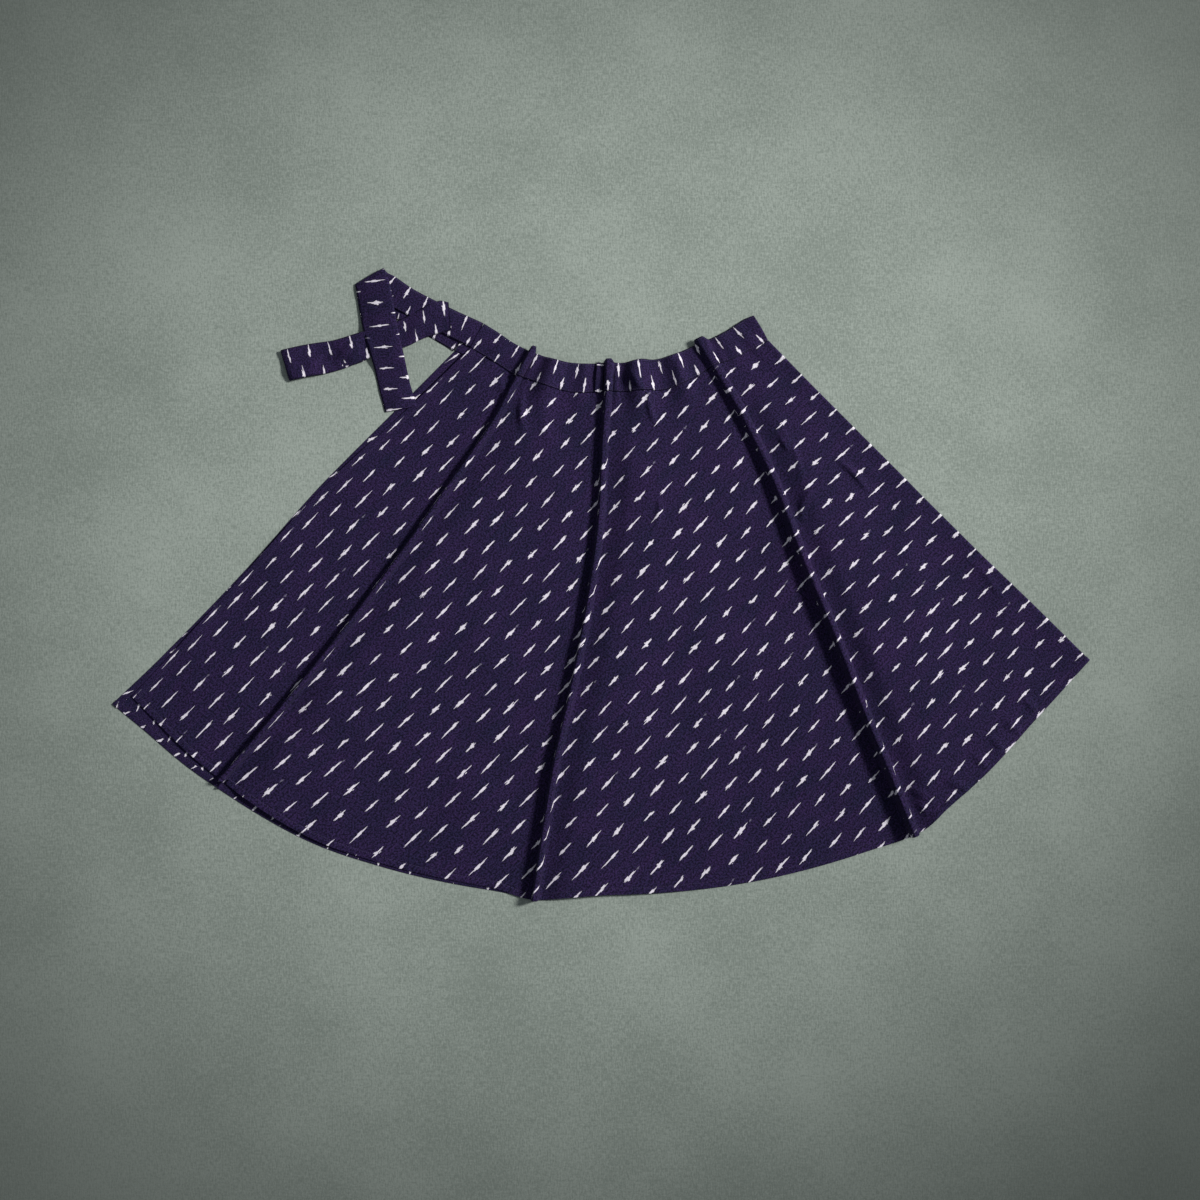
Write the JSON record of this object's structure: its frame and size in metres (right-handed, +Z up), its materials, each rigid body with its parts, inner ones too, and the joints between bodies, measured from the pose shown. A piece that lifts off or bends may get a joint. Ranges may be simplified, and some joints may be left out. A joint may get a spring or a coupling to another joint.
{
  "type": "wrap skirt",
  "caption": "Midi wrap skirt of dark ikat cotton, folded in half and laid flat, with a curved waistband, tie ends and a belt loop.",
  "frame": {"origin": "middle of the laid-out skirt, on the surface that it lies on", "axes": "+Z up from the surface, +Y from the hem towards the waistband, +X from the front opening and its ties towards the folded side"},
  "size_m": [1.4642, 0.9471, 0.0248],
  "materials": {
    "ikat_cotton": "matte plain-weave cotton, navy and purple, with small pale warp-ikat dashes"
  },
  "bodies": {
    "root": {"skirt_panel": "ikat_cotton", "waistband": "ikat_cotton", "tie_front": "ikat_cotton", "tie_back": "ikat_cotton", "belt_loop": "ikat_cotton"}
  },
  "joints": []
}
